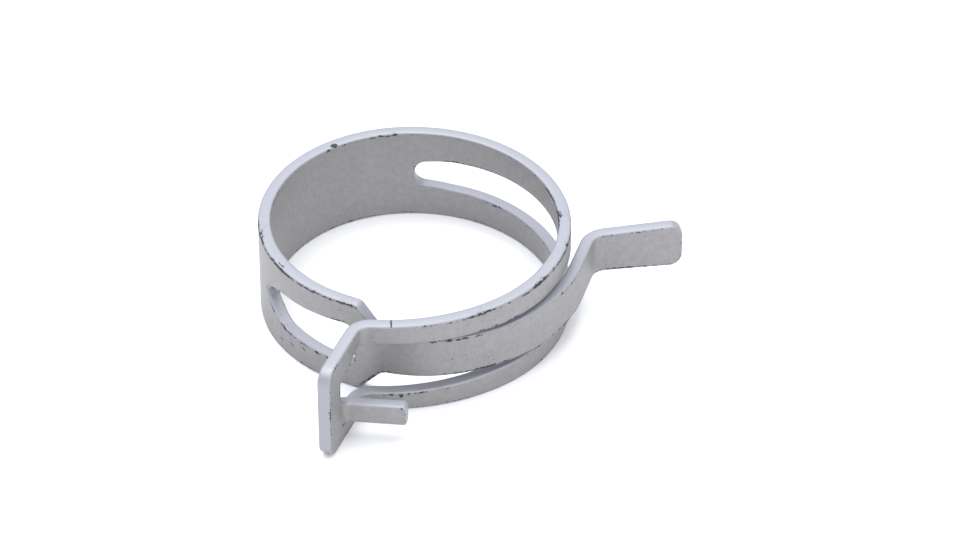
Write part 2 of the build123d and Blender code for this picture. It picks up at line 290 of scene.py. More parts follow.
@dataclass(frozen=True)
class ZincFlakeCoating:
    """Matt silver-grey zinc-flake coating, chipped dark along the punched edges, with a painted bluish
    highlight on the edge faces.
    """

    name: str = "coated_spring_steel"
    dark_flake: Colour = (0.232, 0.227, 0.232, 1.0)
    light_flake: Colour = (0.310, 0.304, 0.309, 1.0)
    # painted highlight: a lighter, bluish tone that stands in for the light from above on the edge faces
    rim_painted_highlight: Colour = (0.335, 0.34, 0.385, 1.0)
    warm_cast: Colour = (0.270, 0.258, 0.240, 1.0)
    bare_steel: Colour = (0.036, 0.037, 0.046, 1.0)
    rust_stain: Colour = (0.085, 0.055, 0.042, 1.0)
    metallic: float = 0.45
    roughness: float = 0.50
    # noise sizes, in features per millimetre
    cloud_scale: float = 0.22
    mottle_scale: float = 1.1
    grain_scale: float = 7.0
    zone_scale: float = 0.16
    zone_shift: tuple[float, float, float] = (31.0, 7.0, 19.0)
    flaking_scale: float = 2.4
    flaking_stretch: tuple[float, float, float] = (0.7, 1.2, 1.2)
    speck_scale: float = 3.3
    # where each mask starts and is full
    flake_span: Span = (0.30, 0.70)
    cloud_span: Span = (0.45, 0.72)
    # where the painted highlight on the edge faces starts and is full
    rim_highlight_span: Span = (0.35, 1.0)
    stain_span: Span = (0.52, 0.72)
    worn_span: Span = (0.4, 1.0)
    edge_chip_span: Span = (0.785, 0.825)
    speck_span: Span = (0.76, 0.80)
    mark_span: Span = (-1.0, -0.72)
    scratch_span: Span = (0.004, 0.014)
    scratch_zone_span: Span = (0.52, 0.66)
    # how strongly each mask shows
    warm_share: float = 0.35
    # how strongly the painted highlight on the edge faces shows
    rim_highlight_share: float = 0.75
    scratch_share: float = 0.35
    speck_share: float = 0.7
    crest_chance: float = 0.22
    rim_chance: float = 0.02
    zone_chance: float = 0.75
    speck_zone_chance: float = 0.25
    wear: float = 0.05  # how much more the coating chips on the worn stretches
    # relief, and how far each part of the pattern lifts or sinks the surface
    relief: float = 0.035  # height of the bump, in mm
    bump_strength: float = 0.55
    grain_relief: float = 0.30
    mottle_relief: float = 0.35
    chip_relief: float = 0.9
    scratch_relief: float = 0.35
    # how the pattern changes the shine
    chip_dulling: float = 0.8
    mottle_roughness: float = 0.16
    chip_roughness: float = 0.3
    # scratches: the turn in degrees and the shift of each set
    scratch_sets: tuple[Span, ...] = ((38.0, 0.0), (-14.0, 50.0))
    scratch_stretch: tuple[float, float, float] = (0.10, 0.5, 2.2)
    marks: tuple[Mark, ...] = ()
    worn: tuple[Mark, ...] = ()

    def dress(self) -> bpy.types.Material:
        """Build the material.

        Returns:
            The coating, patterned on the flat blank's own coordinates.
        """
        tree = ShaderTree(self.name)
        strip = tree.attribute("strip", "Vector")
        rim = tree.attribute("rim", "Fac")
        cloud = tree.noise(strip, self.cloud_scale, detail=3.0, rough=0.55)
        mottle = tree.noise(strip, self.mottle_scale, detail=4.0, rough=0.62)
        grain = tree.noise(strip, self.grain_scale, detail=3.0, rough=0.6)
        zone = tree.noise(tree.vector("ADD", strip, self.zone_shift), self.zone_scale)
        chips = self.chips(tree, strip, rim, zone)
        scratches = self.scratches(tree, strip, zone)
        flakes = tree.ramp(mottle * 0.5 + grain * 0.5, *self.flake_span)
        coat = tree.blend(flakes, self.dark_flake, self.light_flake)
        coat = tree.blend(tree.ramp(cloud, *self.cloud_span) * self.warm_share, coat, self.warm_cast)
        # painted highlight: the edge faces are made lighter and bluer, as if lit from above
        coat = tree.blend(tree.ramp(rim, *self.rim_highlight_span) * self.rim_highlight_share, coat, self.rim_painted_highlight)
        coat = tree.blend(scratches * self.scratch_share, coat, self.dark_flake)
        stain = tree.ramp(grain, *self.stain_span)
        bare = tree.blend(stain, self.bare_steel, self.rust_stain)
        height = grain * self.grain_relief + mottle * self.mottle_relief
        height = height - chips * self.chip_relief - scratches * self.scratch_relief
        uneven = (mottle - 0.5) * self.mottle_roughness
        bump = tree.node(
            "ShaderNodeBump",
            inputs={"Strength": self.bump_strength, "Distance": self.relief * MM, "Height": height},
        )
        return tree.surface(
            {
                "Base Color": tree.blend(chips, coat, bare),
                "Metallic": self.metallic * (1 - chips * self.chip_dulling),
                "Roughness": self.roughness + uneven + chips * self.chip_roughness,
                "Normal": bump,
            }
        )

    def chips(self, tree: ShaderTree, strip: Socket, rim: Socket, zone: Socket) -> Socket:
        """Where the coating is gone: edge chips, sparse specks and the named marks.

        Args:
            tree: The material's tree.
            strip: Flat coordinates in millimetres.
            rim: 1 on the punched edge, 0 on the faces.
            zone: Slow noise that gathers the chips in places.

        Returns:
            A mask, 1 where dark steel shows.
        """
        drawn = tree.vector("MULTIPLY", strip, self.flaking_stretch)
        flaking = tree.noise(drawn, self.flaking_scale, detail=5.0, rough=0.68)
        crest = rim * (1 - rim) * 4
        chance = flaking + crest * self.crest_chance + rim * self.rim_chance
        chance = chance + (zone - 0.5) * self.zone_chance
        for mark in self.worn:
            worn = 1 - tree.ramp(self.reach(tree, strip, mark), *self.worn_span)
            chance = chance + worn * (self.wear * mark.broken)
        edge_chips = tree.ramp(chance, *self.edge_chip_span)
        specks = tree.noise(strip, self.speck_scale)
        face_specks = tree.ramp(specks + (zone - 0.5) * self.speck_zone_chance, *self.speck_span)
        mask = edge_chips | face_specks * self.speck_share
        for mark in self.marks:
            ragged = (flaking - 0.5) * mark.broken
            mask = mask | tree.ramp(ragged - self.reach(tree, strip, mark), *self.mark_span)
        return mask

    def reach(self, tree: ShaderTree, strip: Socket, mark: Mark) -> Socket:
        """How far out of a mark the surface is: 1 on its outline.

        Args:
            tree: The material's tree.
            strip: Flat coordinates in millimetres.
            mark: Where and how large.

        Returns:
            The distance from its middle, in half sizes.
        """
        settings = {"vector_type": "TEXTURE"}
        inputs = {
            "Vector": strip,
            "Location": (mark.station, mark.offset, mark.height),
            "Rotation": (0.0, math.radians(-mark.tilt), 0.0),
            "Scale": (mark.length, mark.depth, mark.width),
        }
        local = tree.node("ShaderNodeMapping", settings, inputs)
        return tree.node("ShaderNodeVectorMath", {"operation": "LENGTH"}, {0: local}, "Value")

    def scratches(self, tree: ShaderTree, strip: Socket, zone: Socket) -> Socket:
        """Fine slanting rub marks, in a few places only.

        Args:
            tree: The material's tree.
            strip: Flat coordinates in millimetres.
            zone: Slow noise that keeps them apart.

        Returns:
            A mask, 1 in a scratch.
        """
        mask = zone * 0.0
        for turn, shift in self.scratch_sets:
            inputs = {
                "Vector": strip,
                "Location": (shift, 0.0, 0.0),
                "Rotation": (0.0, math.radians(turn), 0.0),
                "Scale": self.scratch_stretch,
            }
            drawn = tree.node("ShaderNodeMapping", {"vector_type": "POINT"}, inputs)
            line = tree.noise(drawn, 1.0)
            mask = mask | (1 - tree.ramp(abs(line - 0.5), *self.scratch_span))
        return mask * tree.ramp(zone, *self.scratch_zone_span)


@dataclass(frozen=True)
class FloorPaper:
    """White paper sweep."""

    colour: Colour = (0.90, 0.90, 0.905, 1.0)
    roughness: float = 0.85

    def dress(self) -> bpy.types.Material:
        """Build the material."""
        tree = ShaderTree("floor_paper")
        return tree.surface({"Base Color": self.colour, "Roughness": self.roughness})


# --------------------------------------------------------------------------- the strip


@dataclass(frozen=True)
class Bend:
    """One stretch of a centre line: an arc when it turns, a straight run when it doesn't.

    Attributes:
        size: The arc's radius, or the run's length, in millimetres.
        turn: Degrees, positive to the left; None for a straight run.
    """

    size: float
    turn: Optional[float] = None

    @property
    def length(self) -> float:
        """How much strip the stretch takes."""
        return self.size if self.turn is None else self.size * abs(math.radians(self.turn))


class CentreLine:
    """The strip's centre line in plan, as arcs and straight runs."""

    def __init__(self, start: Point2, heading: float, bends: Sequence[Bend]) -> None:
        """Lay the stretches end to end.

        Args:
            start: The first point, in millimetres.
            heading: The first direction, in degrees.
            bends: The stretches, in order.
        """
        self.bends = list(bends)
        self.joins = [0.0]
        self.starts: list[tuple[Vector, float]] = []
        point, angle = Vector(start), heading
        for bend in self.bends:
            self.starts.append((point, angle))
            self.joins.append(self.joins[-1] + bend.length)
            point, angle = self.at(self.joins[-1])

    @property
    def length(self) -> float:
        """The whole developed length."""
        return self.joins[-1]

    def at(self, station: float) -> tuple[Vector, float]:
        """Where the line is at a station.

        Args:
            station: Millimetres along the strip.

        Returns:
            The point, and the heading in degrees.
        """
        index = 0
        while index < len(self.starts) - 1 and station > self.joins[index + 1]:
            index += 1
        bend, (point, heading) = self.bends[index], self.starts[index]
        along = station - self.joins[index]
        if bend.turn is None:
            return point + unit(heading) * along, heading
        side = math.copysign(1.0, bend.turn)
        after = heading + side * math.degrees(along / bend.size)
        centre = point + unit(heading + 90.0) * bend.size * side
        return centre - unit(after + 90.0) * bend.size * side, after

    def stations(
        self, finest: float = 0.12, turn_step: float = 1.6, run_step: float = 1.5
    ) -> list[float]:
        """Stations where the strip is creased, so that every bend comes out round.

        Args:
            finest: The closest that two creases may stand, in millimetres.
            turn_step: Degrees of bend between two creases.
            run_step: Millimetres between two creases on a straight run.

        Returns:
            The stations, from the start to the end.
        """
        found = [0.0]
        for bend, start in zip(self.bends, self.joins):
            step = run_step
            if bend.turn is not None:
                step = max(bend.size * math.radians(turn_step), finest)
            count = max(1, math.ceil(bend.length / step))
            found += [start + bend.length * (i + 1) / count for i in range(count)]
        return found


def unit(heading: float) -> Vector:
    """The unit vector of a heading in degrees."""
    return Vector((math.cos(math.radians(heading)), math.sin(math.radians(heading))))


@dataclass(frozen=True)
class Corner:
    """One corner of a flat outline, rounded when its radius isn't 0 (millimetres)."""

    station: float
    height: float
    radius: float = 0.0


def outline(corners: Sequence[Corner], step: float = 11.0) -> np.ndarray:
    """Draw a closed outline with its corners rounded.

    Args:
        corners: The corners, in order.
        step: Degrees of a corner between two points.

    Returns:
        The points, one row each.
    """
    points: list[Vector] = []
    for i, corner in enumerate(corners):
        here = Vector((corner.station, corner.height))
        before, after = corners[i - 1], corners[(i + 1) % len(corners)]
        back = (Vector((before.station, before.height)) - here).normalized()
        ahead = (Vector((after.station, after.height)) - here).normalized()
        if not corner.radius:
            points.append(here)
            continue
        half = back.angle(ahead) / 2
        centre = here + (back + ahead).normalized() * (corner.radius / math.sin(half))
        first = here + back * (corner.radius / math.tan(half)) - centre
        swing = (math.pi - 2 * half) * math.copysign(1.0, ahead.cross(back))
        count = max(2, math.ceil(abs(math.degrees(swing)) / step))
        for k in range(count + 1):
            turned = first.copy()
            turned.rotate(Matrix.Rotation(swing * k / count, 2))
            points.append(centre + turned)
    return np.array([tuple(p) for p in points])


def signed_area(points: np.ndarray) -> float:
    """Area inside a closed outline, positive when it runs anticlockwise."""
    x, y = points[:, 0], points[:, 1]
    return float(np.sum(x * np.roll(y, -1) - np.roll(x, -1) * y) / 2)


def inset(points: np.ndarray, distance: float) -> np.ndarray:
    """Move an outline into the material on its left.

    Args:
        points: The outline.
        distance: How far, in millimetres.

    Returns:
        The moved outline, point for point.
    """
    ahead = np.roll(points, -1, axis=0) - points
    ahead /= np.linalg.norm(ahead, axis=1, keepdims=True)
    left = np.column_stack([-ahead[:, 1], ahead[:, 0]])
    both = left + np.roll(left, 1, axis=0)
    both /= np.maximum(1.0 + np.sum(left * np.roll(left, 1, axis=0), axis=1, keepdims=True), LEAST_OPENING)
    return points + both * distance


@dataclass(frozen=True)
class Blank:
    """A flat blank, punched from sheet, with its edges tumbled round.

    Attributes:
        outer: The outline's corners, anticlockwise.
        holes: The corners of each cut-out, clockwise.
        thickness: Of the sheet, in millimetres.
        edge_radius: Of the rounded edges.
        margin: Of flat sheet that the shading keeps beside a rounded edge.
        rounding_steps: Facets in each rounded edge.
    """

    outer: tuple[Corner, ...]
    holes: tuple[tuple[Corner, ...], ...]
    thickness: float
    edge_radius: float = 0.25
    margin: float = 0.22
    rounding_steps: int = 5

    def rings(self) -> list[tuple[float, float, float]]:
        """Inset, half thickness and rim value of each ring from the rim to the face."""
        half, radius, steps = self.thickness / 2, self.edge_radius, self.rounding_steps
        full = radius + self.margin
        found = []
        for k in range(steps + 1):
            angle = math.radians(90.0 * k / steps)
            into = radius * (1 - math.cos(angle))
            found.append((into, half - radius * (1 - math.sin(angle)), 1 - into / full))
        return found + [(full, half, 0.0)]

    def flat_mesh(self) -> bmesh.types.BMesh:
        """Build the whole blank, lying flat.

        Returns:
            A closed mesh: X along the strip, Y outwards, Z up the band, in millimetres.
        """
        made = bmesh.new()
        rim_layer = made.verts.layers.float.new("rim")
        loops = []
        for corners, sign in [(self.outer, 1.0)] + [(hole, -1.0) for hole in self.holes]:
            points = outline(corners)
            if signed_area(points) * sign < 0:
                points = points[::-1]
            loops.append(points)
        rings = self.rings()
        levels = [(into, side * height, rim) for side in (1, -1) for into, height, rim in rings]
        faces: dict[int, list[Ring]] = {1: [], -1: []}
        for points in loops:
            rows = []
            for into, height, rim in levels:
                row = [made.verts.new((x, height, z)) for x, z in inset(points, into)]
                for vert in row:
                    vert[rim_layer] = rim
                rows.append(row)
            count = len(rings)
            order = rows[count - 1 :: -1] + rows[count:]
            for upper, lower in zip(order, order[1:]):
                bridge(made, upper, lower)
            faces[1].append(rows[count - 1])
            faces[-1].append(rows[-1])
        for side, borders in faces.items():
            corners = [vert for border in borders for vert in border]
            flat = [[Vector((v.co.x, v.co.z, 0.0)) for v in border] for border in borders]
            for triangle in tessellate_polygon(flat):
                made.faces.new([corners[i] for i in triangle])
        bmesh.ops.recalc_face_normals(made, faces=made.faces)
        return made

    def length_of(self, start: float, end: float, creases: Iterable[float]) -> bpy.types.Mesh:
        """Cut one length from the blank and crease it.

        Args:
            start: The first station.
            end: The last station.
            creases: Stations where the length will bend.

        Returns:
            The flat, closed length.
        """
        made = self.flat_mesh()
        for station, side in ((start, -1.0), (end, 1.0)):
            everything = made.verts[:] + made.edges[:] + made.faces[:]
            cut = bmesh.ops.bisect_plane(
                made,
                geom=everything,
                dist=CUT_TOLERANCE,
                plane_co=(station, 0.0, 0.0),
                plane_no=(side, 0.0, 0.0),
                clear_outer=True,
            )
            edges = [e for e in cut["geom_cut"] if isinstance(e, bmesh.types.BMEdge)]
            if edges:
                bmesh.ops.holes_fill(made, edges=edges, sides=0)
        for station in creases:
            if start + CREASE_CLEARANCE < station < end - CREASE_CLEARANCE:
                everything = made.verts[:] + made.edges[:] + made.faces[:]
                bmesh.ops.bisect_plane(
                    made,
                    geom=everything,
                    dist=CUT_TOLERANCE,
                    plane_co=(station, 0.0, 0.0),
                    plane_no=(1.0, 0.0, 0.0),
                )
        mesh = bpy.data.meshes.new("flat_length")
        made.to_mesh(mesh)
        made.free()
        return mesh


def bridge(made: bmesh.types.BMesh, upper: Ring, lower: Ring) -> None:
    """Join two rings of equal count with quads.

    Args:
        made: The mesh.
        upper: One ring.
        lower: The next ring.
    """
    for i in range(len(upper)):
        j = (i + 1) % len(upper)
        made.faces.new((upper[i], upper[j], lower[j], lower[i]))


class Bender:
    """Bends flat lengths along a centre line, with one Geometry Nodes tree."""

    def __init__(self) -> None:
        """Build the tree and keep its input sockets by name."""
        self.tree = bpy.data.node_groups.new("bend_strip", "GeometryNodeTree")
        face = self.tree.interface
        kinds = {
            "Blank": "NodeSocketGeometry",
            "Centre line": "NodeSocketObject",
            "First station": "NodeSocketFloat",
            "Unit": "NodeSocketFloat",
            "Finish": "NodeSocketMaterial",
        }
        self.inputs = {
            name: face.new_socket(name, in_out="INPUT", socket_type=kind).identifier
            for name, kind in kinds.items()
        }
        face.new_socket("Strip", in_out="OUTPUT", socket_type="NodeSocketGeometry")
        self.wire()

    def add(self, kind: str, settings: dict[str, object], links: dict[object, object]) -> bpy.types.Node:
        """Add one node.

        Args:
            kind: The node's type name.
            settings: Its properties.
            links: A value or an output socket for each input.

        Returns:
            The node.
        """
        made = self.tree.nodes.new(kind)
        for key, value in settings.items():
            setattr(made, key, value)
        for key, value in links.items():
            if isinstance(value, bpy.types.NodeSocket):
                self.tree.links.new(value, made.inputs[key])
            else:
                made.inputs[key].default_value = value
        return made

    def wire(self) -> None:
        """Lay out the tree: keep the flat place, then move each point to the bent one."""
        given = self.add("NodeGroupInput", {}, {}).outputs
        flat = self.add("GeometryNodeInputPosition", {}, {}).outputs[0]
        kept = self.add(
            "GeometryNodeStoreNamedAttribute",
            {"data_type": "FLOAT_VECTOR", "domain": "POINT"},
            {"Geometry": given["Blank"], "Name": "strip", "Value": flat},
        )
        parts = self.add("ShaderNodeSeparateXYZ", {}, {0: flat}).outputs
        along = self.add(
            "ShaderNodeMath",
            {"operation": "SUBTRACT"},
            {0: parts["X"], 1: given["First station"]},
        )
        line = self.add("GeometryNodeObjectInfo", {}, {"Object": given["Centre line"]})
        sample = self.add(
            "GeometryNodeSampleCurve",
            {"mode": "LENGTH", "use_all_curves": True},
            {"Curves": line.outputs["Geometry"], "Length": along.outputs[0]},
        )
        outwards = self.add(
            "ShaderNodeVectorMath",
            {"operation": "CROSS_PRODUCT"},
            {0: (0.0, 0.0, 1.0), 1: sample.outputs["Tangent"]},
        )
        squarely = self.add("ShaderNodeVectorMath", {"operation": "NORMALIZE"}, {0: outwards.outputs[0]})
        lifted = self.add("ShaderNodeCombineXYZ", {}, {"Z": parts["Z"]})
        shifted = self.add(
            "ShaderNodeVectorMath",
            {"operation": "MULTIPLY_ADD"},
            {0: squarely.outputs[0], 1: parts["Y"], 2: lifted.outputs[0]},
        )
        bent = self.add(
            "ShaderNodeVectorMath",
            {"operation": "ADD"},
            {0: shifted.outputs[0], 1: sample.outputs["Position"]},
        )
        scaled = self.add(
            "ShaderNodeVectorMath",
            {"operation": "SCALE"},
            {0: bent.outputs[0], "Scale": given["Unit"]},
        )
        placed = self.add(
            "GeometryNodeSetPosition",
            {},
            {"Geometry": kept.outputs[0], "Position": scaled.outputs[0]},
        )
        real = self.add("GeometryNodeRealizeInstances", {}, {"Geometry": placed.outputs[0]})
        dressed = self.add(
            "GeometryNodeSetMaterial",
            {},
            {"Geometry": real.outputs[0], "Material": given["Finish"]},
        )
        self.add("NodeGroupOutput", {}, {0: dressed.outputs[0]})

    def bend(
        self,
        name: str,
        flat: bpy.types.Mesh,
        line: bpy.types.Object,
        first: float,
        finish: bpy.types.Material,
    ) -> bpy.types.Object:
        """Bend a flat length and keep the result as a plain mesh.

        Args:
            name: The piece's name.
            flat: The flat length.
            line: The centre line's curve object.
            first: The station where that curve starts.
            finish: The piece's material.

        Returns:
            The finished piece, at the origin, in metres.
        """
        piece = bpy.data.objects.new(name, flat)
        bpy.context.scene.collection.objects.link(piece)
        modifier = piece.modifiers.new("bend", "NODES")
        modifier.node_group = self.tree
        values = {"Centre line": line, "First station": first, "Unit": MM, "Finish": finish}
        for key, value in values.items():
            modifier[self.inputs[key]] = value
        piece.update_tag()
        seen = piece.evaluated_get(bpy.context.evaluated_depsgraph_get())
        mesh = bpy.data.meshes.new_from_object(seen)
        piece.modifiers.clear()
        piece.data = mesh
        mesh.name = name
        bpy.data.meshes.remove(flat)
        for polygon in mesh.polygons:
            polygon.use_smooth = True
        mesh.set_sharp_from_angle(angle=math.radians(SHARP_ANGLE))
        return piece


def curve_along(name: str, points: Sequence[Vector]) -> bpy.types.Object:
    """A plain poly curve, for the bender to follow.

    Args:
        name: The object's name.
        points: Its points in plan, in millimetres.

    Returns:
        The curve, which unlink takes away once the pieces are bent.
    """
    data = bpy.data.curves.new(name, "CURVE")
    data.dimensions = "3D"
    spline = data.splines.new("POLY")
    spline.points.add(len(points) - 1)
    for slot, point in zip(spline.points, points):
        slot.co = (point.x, point.y, 0.0, 1.0)
    made = bpy.data.objects.new(name, data)
    bpy.context.scene.collection.objects.link(made)
    return made


def unlink(thing: bpy.types.Object) -> None:
    """Remove a helper object and its data."""
    data = thing.data
    bpy.data.objects.remove(thing)
    bpy.data.curves.remove(data)


class Way(Enum):
    """How a length of strip follows the frame."""

    RIDES = "rides on one body"
    BENDS = "bends between two bodies"


@dataclass(frozen=True)
class Length:
    """One length of the strip, between two stations of the blank.

    Attributes:
        name: The piece's name.
        start: First station, in millimetres from the back; the fork's side is positive.
        end: Last station.
        bodies: The body it rides on, or the two bodies on either side of its flex line.
        nodes: The CAD nodes it stands for.
        flex: The station of the flex line that it crosses, if any.
    """

    name: str
    start: float
    end: float
    bodies: tuple[str, ...]
    nodes: tuple[str, ...]
    flex: Optional[float] = None

    @property
    def way(self) -> Way:
        """Whether it rides or bends."""
        return Way.RIDES if self.flex is None else Way.BENDS


@dataclass(frozen=True)
class SpringBand:
    """The strip: forked half, plain half with its slot, shoulder, tongue and both ears.

    All sizes are in millimetres or degrees; width, bore and thickness come from the frame.
    """

    width: float
    bore_radius: float
    thickness: float
    # bends, clockwise from the back along the fork
    fork_ease: float = 1.1
    heel_ease: float = 4.15
    fork_turn: float = 145.0
    heel_turn: float = 39.0
    ear_bend_inner: float = 1.5
    fork_ear_turn: float = 73.6
    fork_ear_length: float = 8.4
    # bends, anticlockwise from the back along the tongue
    side_turn: float = 153.3
    shoulder_run: float = 3.06
    root_ease: float = -2.02
    root_turn: float = 36.6
    tongue_ease: float = 2.16
    tongue_turn: float = 63.5
    flare_length: float = 4.2
    tongue_ear_bend_inner: float = 2.0
    tongue_ear_turn: float = 64.0
    tongue_ear_length: float = 9.1
    # the flat blank
    tongue_width: float = 5.3
    tongue_clearance: float = 1.0
    window_start: float = 0.3
    window_neck: float = 1.5
    window_heel_width: float = 3.1
    window_heel_radius: float = 1.5
    ear_window_length: float = 5.1
    ear_window_height: float = 6.25
    ear_window_radius: float = 0.7
    slot_tip_angle: float = 108.5
    slot_knee: float = 4.2
    slot_knee_width: float = 4.6
    slot_width: float = 5.9
    slot_end_wall: float = 0.5
    slot_tip_radius: float = 0.8
    slot_end_radius: float = 1.3
    shoulder_start: float = 2.4
    shoulder_length: float = 2.9
    shoulder_radius: float = 1.6
    shoulder_corner_radius: float = 0.9
    tongue_ear_spread: float = 0.25
    tongue_ear_corner_radius: float = 1.5
    fork_ear_corner_radius: float = 1.8
    # the frame's flex lines
    flex_turn: float = 30.0
    tongue_flex_gap: float = 0.5
    flex_reach: float = 4.1

    @classmethod
    def from_frame(cls) -> "SpringBand":
        """Take the width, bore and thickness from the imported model.

        Returns:
            The band at the frame's sizes.
        """
        low, high = CAD_BOX
        bore = frame["record"]["mounts"][0]["dims"]["r_mm"]
        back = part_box("back_band")[1].y / MM
        return cls((high.z - low.z) / MM, bore, back - bore)

    @property
    def middle(self) -> float:
        """Height of the strip's middle line."""
        return self.width / 2

    @property
    def side_radius(self) -> float:
        """Centre-line radius of the plain half."""
        return self.bore_radius + self.thickness / 2

    @property
    def mouth_half(self) -> float:
        """Half the fork's opening at its mouth."""
        return self.tongue_width / 2 + self.tongue_clearance

    @property
    def fork(self) -> CentreLine:
        """The forked half's centre line, from the back."""
        radius = self.side_radius + self.fork_ease
        bends = [
            Bend(radius, -self.fork_turn),
            Bend(radius + self.heel_ease, -self.heel_turn),
            Bend(self.ear_bend_inner + self.thickness / 2, self.fork_ear_turn),
            Bend(self.fork_ear_length),
        ]
        return CentreLine((0.0, self.side_radius), 0.0, bends)

    @property
    def tongue(self) -> CentreLine:
        """The plain half's centre line, from the back to the tongue's end."""
        bends = [
            Bend(self.side_radius, self.side_turn),
            Bend(self.shoulder_run),
            Bend(self.side_radius + self.root_ease, self.root_turn),
            Bend(self.side_radius + self.tongue_ease, self.tongue_turn),
            Bend(self.flare_length),
            Bend(self.tongue_ear_bend_inner + self.thickness / 2, -self.tongue_ear_turn),
            Bend(self.tongue_ear_length),
        ]
        return CentreLine((0.0, self.side_radius), 180.0, bends)

    @property
    def ear_window_end(self) -> float:
        """Station where the fork ear's window ends."""
        return self.fork.joins[3] + self.ear_window_length

    def window_half(self, station: float) -> float:
        """Half the window's height at a station of the fork."""
        start = (self.tongue_width - self.window_neck) / 2
        mouth = self.fork.joins[2]
        share = (station - self.window_start) / (mouth - self.window_start)
        return start + share * (self.mouth_half - start)

    def fork_flexes(self) -> list[float]:
        """Stations of the flex lines on the fork's side."""
        step = (self.side_radius + self.fork_ease) * math.radians(self.flex_turn)
        return [step * (i + 0.5) for i in range(3)]

    def side_flexes(self) -> list[float]:
        """Stations of the flex lines on the plain side, as distances from the back."""
        step = self.side_radius * math.radians(self.flex_turn)
        shoulder_foot = self.tongue.joins[1] + self.shoulder_start + self.shoulder_length
        return [step * (i + 0.5) for i in range(5)] + [shoulder_foot + self.tongue_flex_gap]

    def blank(self) -> Blank:
        """The flat strip with its window and slot.

        Returns:
            The blank; the fork lies at positive stations.
        """
        fork, tongue, mid = self.fork, self.tongue, self.middle
        half, tip = self.tongue_width / 2, self.tongue_width / 2 + self.tongue_ear_spread
        top = tongue.joins[1] + self.shoulder_start
        foot = top + self.shoulder_length
        outer = (
            Corner(fork.length, 0.0, self.fork_ear_corner_radius),
            Corner(fork.length, self.width, self.fork_ear_corner_radius),
            Corner(-top, self.width, self.shoulder_corner_radius),
            Corner(-foot, mid + half, self.shoulder_radius),
            Corner(-tongue.joins[6], mid + half),
            Corner(-tongue.length, mid + tip, self.tongue_ear_corner_radius),
            Corner(-tongue.length, mid - tip, self.tongue_ear_corner_radius),
            Corner(-tongue.joins[6], mid - half),
            Corner(-foot, mid - half, self.shoulder_radius),
            Corner(-top, 0.0, self.shoulder_corner_radius),
        )
        return Blank(outer, (self.window(), self.slot(top - self.slot_end_wall)), self.thickness)

    def window(self) -> tuple[Corner, ...]:
        """The fork's window, from its heel at the back to its end in the ear."""
        fork, mid, mouth = self.fork, self.middle, self.mouth_half
        heel, neck = self.window_heel_width / 2, self.fork_flexes()[0]
        end, low = self.ear_window_end, mid - mouth
        return (
            Corner(self.window_start, mid + heel, self.window_heel_radius),
            Corner(neck, mid + self.window_half(neck)),
            Corner(fork.joins[3], mid + mouth),
            Corner(end, low + self.ear_window_height, self.ear_window_radius),
            Corner(end, low, self.ear_window_radius),
            Corner(fork.joins[2], low),
            Corner(neck, mid - self.window_half(neck)),
            Corner(self.window_start, mid - heel, self.window_heel_radius),
        )

    def slot(self, end: float) -> tuple[Corner, ...]:
        """The side slot: a pointed tip, and a blunt end beside the shoulder.

        Args:
            end: Distance of the blunt end from the back.

        Returns:
            Its corners.
        """
        mid, tip = self.middle, self.side_radius * math.radians(self.slot_tip_angle)
        knee, knee_half, half = tip + self.slot_knee, self.slot_knee_width / 2, self.slot_width / 2
        return (
            Corner(-tip, mid, self.slot_tip_radius),
            Corner(-knee, mid + knee_half, self.slot_knee),
            Corner(-end, mid + half, self.slot_end_radius),
            Corner(-end, mid - half, self.slot_end_radius),
            Corner(-knee, mid - knee_half, self.slot_knee),
        )

    def place(self, station: float) -> tuple[Vector, Vector]:
        """The centre line's point and its direction of rising station.

        Args:
            station: Signed station of the blank.

        Returns:
            The point and the unit direction, in plan.
        """
        if station >= 0:
            point, heading = self.fork.at(station)
            return point, unit(heading)
        point, heading = self.tongue.at(-station)
        return point, -unit(heading)

    def lengths(self) -> list[Length]:
        """The lengths that the strip is cut into: one over each flex line, the rest stiff."""
        fork, side = self.fork_flexes(), self.side_flexes()
        fork_cuts = [0.0] + [flex + fork[0] for flex in fork]
        side_cuts = [0.0] + [flex + side[0] for flex in side[:4]]
        mouth, flare = self.fork.joins[2], self.tongue.joins[4]
        rails = [(f"fork_upper_rail_{i}", f"fork_lower_rail_{i}") for i in range(1, 6)]
        bands = [("back_band",), ("side_band_1",), ("side_band_2",), ("side_band_3",), ("slot_band",)]
        fork_bodies = ("band_back", "fork_flex_1", "fork_flex_2", "fork_front")
        side_bodies = ("band_back", "side_flex_1", "side_flex_2", "side_flex_3", "slot_flex")
        front, tongue = fork_bodies[-1:], ("tongue",)
        ear = ("fork_ear_upper_arm", "fork_ear_lower_arm", "fork_ear_tip")
        slot_rails = ("side_upper_rail_1", "side_lower_rail_1")
        slot_middle = (side[4] + side[5]) / 2
        tongue_start = side[5] + side[0]
        fork_end, tongue_end = self.fork.length + OVERRUN, -self.tongue.length - OVERRUN
        made = []
        fork_nodes = [bands[0]] + rails
        for i, name in enumerate(("back_to_fork", "fork_heel", "fork_flank")):
            nodes = fork_nodes[i] + fork_nodes[i + 1]
            made.append(Length(name, fork_cuts[i], fork_cuts[i + 1], fork_bodies[i : i + 2], nodes, fork[i]))
        made.append(Length("fork_rails", fork_cuts[3], mouth, front, rails[2] + rails[3] + rails[4]))
        made.append(Length("fork_ear", mouth, fork_end, front, ear))
        for i, name in enumerate(("back_to_side", "side_upper_part", "side_lower_part", "slot_tip")):
            start, end = -side_cuts[i + 1], -side_cuts[i]
            nodes = bands[i] + bands[i + 1]
            made.append(Length(name, start, end, side_bodies[i : i + 2], nodes, -side[i]))
